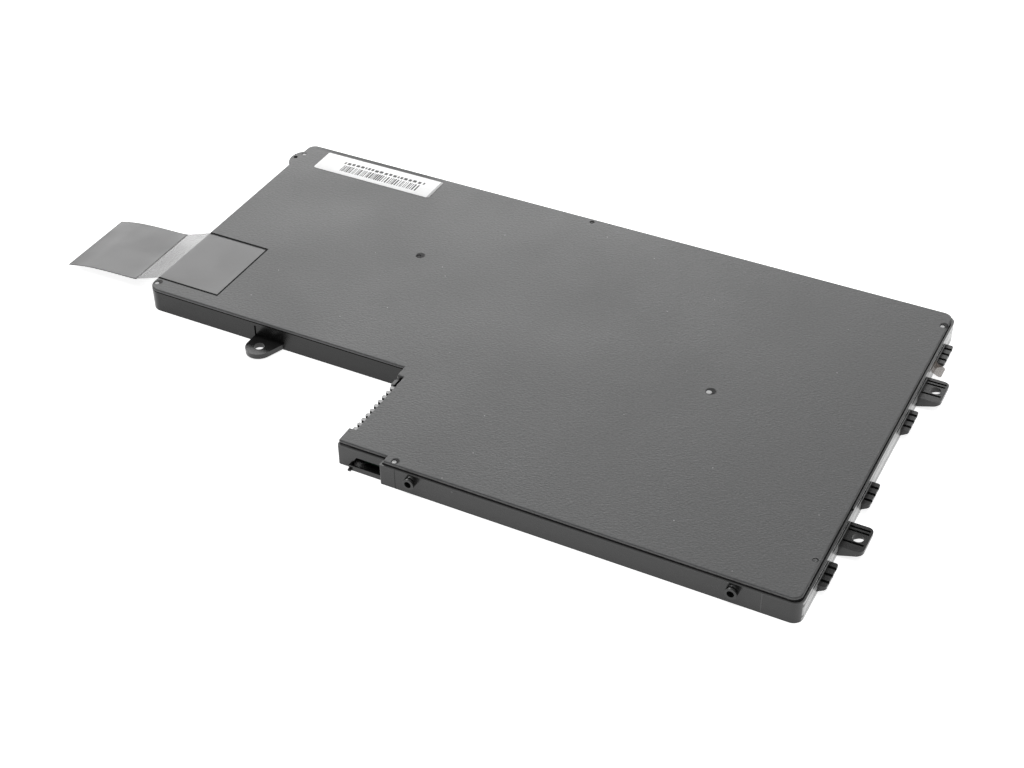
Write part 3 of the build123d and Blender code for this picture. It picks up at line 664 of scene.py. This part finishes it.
# %% Define the helpers for shaping and finishing
def apply_modifier(piece, kind, **settings):
    """Adds a modifier with its settings and applies it."""
    select_only(piece)
    bpy.ops.object.modifier_add(type=kind)
    modifier = piece.modifiers[-1]
    for name, value in settings.items():
        setattr(modifier, name, value)
    bpy.ops.object.modifier_apply(modifier=modifier.name)


def extrude_along(path):
    """Extrudes what is selected from point to point. Each point is (x, z) in mm."""
    for (x0, z0), (x1, z1) in zip(path, path[1:]):
        step = ((x1 - x0) * MM, 0, (z1 - z0) * MM)
        bpy.ops.mesh.extrude_region_move(TRANSFORM_OT_translate={"value": step})


def finish(piece, name, material, smooth=30, replaces=None):
    """Names, places and smooths a piece, hangs it on the root body and hides what it replaces."""
    select_only(piece)
    piece.name = name
    piece.data.name = name
    bpy.ops.object.transform_apply(location=True, rotation=True, scale=True)
    bpy.ops.object.shade_smooth_by_angle(angle=math.radians(smooth))
    piece.data.materials.clear()
    piece.data.materials.append(material)
    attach(piece, "root")
    if replaces:
        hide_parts(replaces)
    print(name, "triangles:", sum(len(p.vertices) - 2 for p in piece.data.polygons))


# %% [markdown]
# ## Heads of the melted pins
#
# The cover is held by plastic pins of the tray that stand in its holes and were melted flat with
# a hot tool. In the photo five heads look pale, two dark, and one like the cover round it.

# %% Make the finishes of the pins
pale_pin = plastic(
    "pale_pin_plastic", grey(0.28), grey(0.50), (0.15, 0.3), 2500, 0.00004, grey(0.5), 200
)
dark_pin = plastic(
    "dark_pin_plastic", grey(0.008), grey(0.020), (0.2, 0.3), 2500, 0.00004, grey(0.1), 200
)
dark_pin.node_tree.nodes["Principled BSDF"].inputs["Specular IOR Level"].default_value = 0.1
print("pin finishes:", pale_pin.name, dark_pin.name)

# %% [markdown]
# Some heads stay sunk in their hole and have a small dimple from the tool, and one spreads into
# a wide button. One of each kind is shaped from a short cylinder by insets of its top face,
# which is lifted or lowered after an inset.


# %% Model the two kinds of head
def press_head(radius, height, middle_z, steps):
    """A pin head, in mm. Each step insets the top face and then lifts it."""
    clear_selection()
    bpy.ops.mesh.primitive_cylinder_add(
        vertices=24, radius=radius * MM, depth=height * MM, location=(0, 0, middle_z * MM)
    )
    head = bpy.context.object
    edit(head, "FACE")
    pick(head, "faces", lambda f: f.normal.z > 0.9)
    for inset, lift in steps:
        bpy.ops.mesh.inset(thickness=inset * MM)
        bpy.ops.transform.translate(value=(0, 0, lift * MM))
    clear_selection()
    apply_modifier(head, "SUBSURF", levels=1, render_levels=1)
    print("head height:", round(head.dimensions.z / MM, 2), "mm")
    return head


sunk_head = press_head(0.78, 0.4, 7.72, [(0.2, 0.12), (0.22, 0), (0.1, -0.08)])
wide_head = press_head(0.95, 0.5, 7.88, [(0.25, 0.06), (0.3, 0)])

# %% [markdown]
# Eight pins hold the cover. Each head is a copy with its own mesh, moved to its hole, and the
# two that served as models are removed.

# %% Copy the heads to every hole
pins = [
    (-3.9, -67.95, sunk_head, pale_pin),
    (115.1, 62.4, sunk_head, pale_pin),
    (-115.9, -25.5, sunk_head, pale_pin),
    (-116.2, 62.8, sunk_head, pale_pin),
    (63.3, 0.3, wide_head, pale_pin),
    (-6.2, 67.9, sunk_head, dark_pin),
    (-48.2, 24.7, sunk_head, dark_pin),
    (115.1, -53.1, sunk_head, grained_cover),
]
for number, (x, y, kind, material) in enumerate(pins, start=1):
    select_only(kind)
    bpy.ops.object.duplicate(linked=False)
    head = bpy.context.object
    head.location = (x * MM, y * MM, kind.location.z)
    finish(head, f"pin_head_{number}", material, smooth=50)
for kind in (sunk_head, wide_head):
    bpy.data.objects.remove(kind)

# %% [markdown]
# ## Paper label
#
# A small white paper label is stuck along the far edge. Its right end is made grey. The ink of
# its print is a dull dark grey.

# %% Make the paper and ink finishes
paper = plastic(
    "label_paper", grey(0.86), grey(0.93), (0.45, 0.6), 600, 0.00001, grey(0.75), 30
)
ink = plastic("grey_ink", grey(0.03), grey(0.08), (0.5, 0.6), 3000, 0.00001, grey(0.1), 500)
label_low, label_high = (Vector(corner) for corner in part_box("label"))
label_end = label_high.x / MM
grey_end = slice_mask(paper.node_tree, "X", label_end - 0.9, label_end + 1)
tint(paper, grey_end, grey(0.42))
print("label ends at x =", round(label_end, 2), "mm")

# %% [markdown]
# The paper is a thin plate with rounded corners. A plane gets its corners rounded by a bevel of
# its vertices, wider at the near side than at the far side, and is then drawn up to its
# thickness.

# %% Model the paper
paper_thickness = 0.085 * MM
near_rounding, far_rounding = 0.8 * MM, 0.35 * MM
label_middle = (label_low + label_high) / 2
label_size = label_high - label_low
clear_selection()
bpy.ops.mesh.primitive_plane_add(size=1, location=(label_middle.x, label_middle.y, label_low.z))
paper_label = bpy.context.object
paper_label.scale = (label_size.x, label_size.y, 1)
bpy.ops.object.transform_apply(location=True, rotation=True, scale=True)
edit(paper_label, "VERT")
pick(paper_label, "verts", lambda v: v.co.y < label_middle.y)
bpy.ops.mesh.bevel(offset=near_rounding, segments=5, affect="VERTICES")
bpy.ops.mesh.select_all(action="DESELECT")
pick(paper_label, "verts", lambda v: v.co.y > label_high.y - 0.1 * MM)
bpy.ops.mesh.bevel(offset=far_rounding, segments=4, affect="VERTICES")
bpy.ops.mesh.select_mode(type="FACE")
bpy.ops.mesh.select_all(action="SELECT")
bpy.ops.mesh.extrude_region_move(TRANSFORM_OT_translate={"value": (0, 0, paper_thickness)})
bpy.ops.mesh.select_all(action="SELECT")
bpy.ops.mesh.normals_make_consistent(inside=False)
clear_selection()
apply_modifier(paper_label, "BEVEL", width=0.02 * MM, segments=2, limit_method="ANGLE")
finish(paper_label, "paper_label", paper, replaces="label")

# %% [markdown]
# The print is a row of uneven bars and a row of small dashes, each a thin film of ink on top of
# the paper, because ink that is modelled stays sharp at any distance. A helper joins any number
# of flat rectangles into one thin piece.


# %% Define the helper for thin marks
def thin_marks(name, marks, level, material):
    """One thin piece made of rectangles, each (left, right, near, far) in metres."""
    clear_selection()
    made = []
    for left, right, near, far in marks:
        centre = ((left + right) / 2, (near + far) / 2, level)
        bpy.ops.mesh.primitive_plane_add(size=1, location=centre)
        mark = bpy.context.object
        mark.scale = (right - left, far - near, 1)
        made.append(mark)
    clear_selection()
    for mark in made:
        mark.select_set(True)
    bpy.context.view_layer.objects.active = made[0]
    bpy.ops.object.join()
    piece = bpy.context.object
    bpy.ops.object.transform_apply(location=True, rotation=True, scale=True)
    apply_modifier(piece, "SOLIDIFY", thickness=0.008 * MM, offset=1)
    finish(piece, name, material)


# %% [markdown]
# The widths and gaps are drawn with seeded dice, so that they look uneven and still come out
# the same each time. They stand for nothing that could be read.

# %% Print the bars and the dashes
dice = random.Random(7)
bars = []
x, bars_end = -99.2, -69.0
bar_near, bar_far = 58.8, 62.6
while x < bars_end:
    width = dice.choice([0.22, 0.22, 0.3, 0.42, 0.55])
    bars.append((x * MM, (x + width) * MM, bar_near * MM, bar_far * MM))
    x += width + dice.choice([0.25, 0.3, 0.42, 0.6])
dashes = []
x, dashes_end = -100.0, -68.6
dash_near, dash_far = 63.3, 64.6
while x < dashes_end:
    width = dice.choice([0.6, 0.9, 1.1, 1.3])
    rise = dice.choice([0.0, 0.15])
    dashes.append((x * MM, (x + width) * MM, (dash_near + rise) * MM, (dash_far + rise) * MM))
    x += width + dice.choice([0.5, 0.6, 0.8])
ink_level = label_low.z + 0.086 * MM
thin_marks("label_bars", bars, ink_level, ink)
thin_marks("label_dashes", dashes, ink_level, ink)
print("bars:", len(bars), "dashes:", len(dashes))

# %% [markdown]
# ## Pull tab of film
#
# The pull tab is one strip of clear grey film. Its first part is stuck in the shallow window of
# the cover. The rest hangs out over the wall, dips to the table, and is folded back and stuck on
# itself, so that the end is two layers thick and darker. Film hides a part of what is behind
# it, so its alpha lies between 0 and 1, with faint streaks.


# %% Define the film helper and make the film finish
def clear_film(name, dark, light, gloss, cover_amount):
    """See-through film with faint streaks. cover_amount is how much one face hides."""
    material, tree, shader = start_material(name, IOR=1.5)
    patches = place_group(tree, drift, Patches_per_metre=45)
    surface = place_group(tree, grain, Cells_per_metre=90)
    tone = patches.outputs["Tone"]
    join(tree, mix_colours(tree, tone, dark, light), shader.inputs["Base Color"])
    join(tree, spread(tree, tone, NOISE_SPAN, cover_amount), shader.inputs["Alpha"])
    roughness = spread(tree, surface.outputs["Tone"], WHOLE, gloss)
    join(tree, roughness, shader.inputs["Roughness"])
    add_bump(tree, shader, surface.outputs["Height"], 0.5, 0.00003)
    return material


tab_film = clear_film("clear_grey_film", grey(0.110), grey(0.145), (0.36, 0.46), (0.46, 0.50))
print("film:", tab_film.name)

# %% [markdown]
# Where the film is stuck down, and where it is double, next to nothing shows through it. Clear
# film over a surface close behind it also renders speckled. So those two parts are made dense,
# each in the tone that the layers have together. A soft paler band of painted sheen crosses the
# double part.

# %% Make the film dense where it is stuck down or double
seat, seat_tone = (-117.4, -90), 0.122
double, double_tone = (-157, -126.9), 0.102
painted_sheen_band = (-148.6, -146.8)
tree = tab_film.node_tree
film_alpha = tree.nodes["Principled BSDF"].inputs["Alpha"]
for (left, right), tone in ((seat, seat_tone), (double, double_tone)):
    dense = slice_mask(tree, "X", left, right)
    tint(tab_film, dense, grey(tone))
    add_most(tree, dense, film_alpha)
# Painted sheen: a soft paler band across the double part.
tint(tab_film, slice_mask(tree, "X", *painted_sheen_band, soft=1.5), grey(0.118))
print("double part:", double, "mm")

# %% [markdown]
# The strip starts as a narrow grid, and its outer edge is extruded from point to point along
# the bend: outward, round the fold, and homeward on top. A surface that is subdivided gives a
# smooth sheet.

# %% Extrude the strip along its bend
tab_low, tab_high = (Vector(corner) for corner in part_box("pull_tab"))
outward = [
    (-105.0, 7.89), (-113.0, 7.89), (-116.9, 7.89), (-117.9, 7.78), (-119.8, 7.02),
    (-123.3, 5.78), (-126.2, 4.78), (-128.2, 4.43), (-132.0, 4.28), (-136.5, 4.16),
    (-140.5, 3.95), (-144.0, 3.69), (-147.5, 3.33), (-151.5, 2.6), (-154.5, 1.85),
]
fold = [(-154.68, 1.73), (-154.5, 1.64)]
homeward = [
    (-151.5, 2.39), (-147.5, 3.12), (-144.0, 3.48), (-140.5, 3.74), (-136.5, 3.95),
    (-132.0, 4.07), (-128.2, 4.23), (-126.8, 4.37),
]
start_x, start_z = tab_high.x / MM, 7.89
first_x = outward[0][0]
tab_width = tab_high.y - tab_low.y
tab_y = (tab_high.y + tab_low.y) / 2
clear_selection()
bpy.ops.mesh.primitive_grid_add(x_subdivisions=1, y_subdivisions=6, size=1, location=(0, 0, 0))
strip = bpy.context.object
strip.scale = ((start_x - first_x) * MM, tab_width, 1)
strip.location = ((start_x + first_x) / 2 * MM, tab_y, start_z * MM)
bpy.ops.object.transform_apply(location=True, rotation=True, scale=True)
edit(strip, "EDGE")
pick(strip, "edges", lambda e: abs(middle(e).x - first_x * MM) < 0.01 * MM)
extrude_along(outward + fold + homeward)
clear_selection()
apply_modifier(strip, "SUBSURF", levels=2, render_levels=2, boundary_smooth="PRESERVE_CORNERS")
print("strip faces:", len(strip.data.polygons))

# %% [markdown]
# Solidify grows the sheet to both sides, which gives the film its thickness and closes its
# edges. The finished film takes the place of the plain one.

# %% Give the film its thickness
apply_modifier(strip, "SOLIDIFY", thickness=0.14 * MM, offset=0)
finish(strip, "film_tab", tab_film, smooth=60, replaces="pull_tab")

# %% [markdown]
# ## Painted shadow round the seat of the film
#
# A thin dark line of painted shadow runs round the seat of the film, where a narrow gap is left
# between it and the window of the cover. The line is made like the print of the label, as three
# thin marks of dull black along the sides of the window.

# %% Lay the painted shadow line
# A dull black finish that stands in for the shadow in the gap round the film.
gap_shadow = plastic(
    "painted_gap_shadow", grey(0.003), grey(0.007), (0.6, 0.7), 3000, 0.00001, grey(0.02), 500
)
gap_shadow.node_tree.nodes["Principled BSDF"].inputs["Specular IOR Level"].default_value = 0.05
window_left, window_right = -117.15, tab_high.x / MM + 0.45
window_near, window_far = tab_low.y / MM - 0.5, tab_high.y / MM + 0.5
far_width, near_width, right_width = 0.65, 0.75, 0.55
cover_top = 8.1
gap_shadow_marks = [
    (window_left, window_right, window_far - far_width, window_far),
    (window_left, window_right, window_near, window_near + near_width),
    (
        window_right - right_width, window_right,
        window_near + near_width, window_far - near_width,
    ),
]
marks_in_metres = [tuple(side * MM for side in mark) for mark in gap_shadow_marks]
thin_marks("gap_shadow_line", marks_in_metres, cover_top * MM, gap_shadow)

# %% [markdown]
# ## Scrap of old tape
#
# A torn bit of brownish tape still clings to the right wall. It lies flat on the wall at its top
# and bends outwards below. It is made like the pull tab, from a grid whose two edges are first
# moved to the first two points of the bend.

# %% Model the scrap
scrap_film = clear_film(
    "old_brown_tape", (0.17, 0.145, 0.125), (0.25, 0.215, 0.19), (0.35, 0.5), (0.5, 0.62)
)
scrap_low, scrap_high = (Vector(corner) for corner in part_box("tape_scrap"))
wall_x = scrap_low.x / MM
scrap_width = scrap_high.y - scrap_low.y
scrap_y = (scrap_high.y + scrap_low.y) / 2
scrap_path = [(0.07, 5.1), (0.07, 4.4), (0.25, 3.9), (1.2, 3.35), (2.3, 2.9), (3.2, 2.68)]
clear_selection()
bpy.ops.mesh.primitive_grid_add(x_subdivisions=1, y_subdivisions=4, size=1, location=(0, 0, 0))
scrap = bpy.context.object
scrap.scale = (1, scrap_width, 1)
scrap.location = (0, scrap_y, 0)
bpy.ops.object.transform_apply(location=True, rotation=True, scale=True)
edit(scrap, "EDGE")
for side, (x, z) in ((-0.5, scrap_path[0]), (0.5, scrap_path[1])):
    bpy.ops.mesh.select_all(action="DESELECT")
    pick(scrap, "edges", lambda e: abs(middle(e).x - side) < 0.1)
    bpy.ops.transform.translate(value=((wall_x + x) * MM - side, 0, z * MM))
extrude_along(scrap_path[1:])
print("scrap reaches", scrap_path[-1][0], "mm out from the wall")

# %% [markdown]
# The two outer corners are rounded by a bevel of their vertices, before the scrap gets its
# thickness.

# %% Round the corners of the scrap and finish it
tip_x = (wall_x + scrap_path[-1][0]) * MM
bpy.ops.mesh.select_mode(type="VERT")
bpy.ops.mesh.select_all(action="DESELECT")
pick(
    scrap,
    "verts",
    lambda v: v.co.x > tip_x - 0.1 * MM and abs(v.co.y - scrap_y) > scrap_width / 2 - 0.1 * MM,
)
bpy.ops.mesh.bevel(offset=0.8 * MM, segments=4, affect="VERTICES")
clear_selection()
apply_modifier(scrap, "SOLIDIFY", thickness=0.1 * MM, offset=0)
finish(scrap, "old_tape_scrap", scrap_film, smooth=60, replaces="tape_scrap")

# %% [markdown]
# ## Finish
#
# The selection is cleared at the end.

# %% Finish
clear_selection()
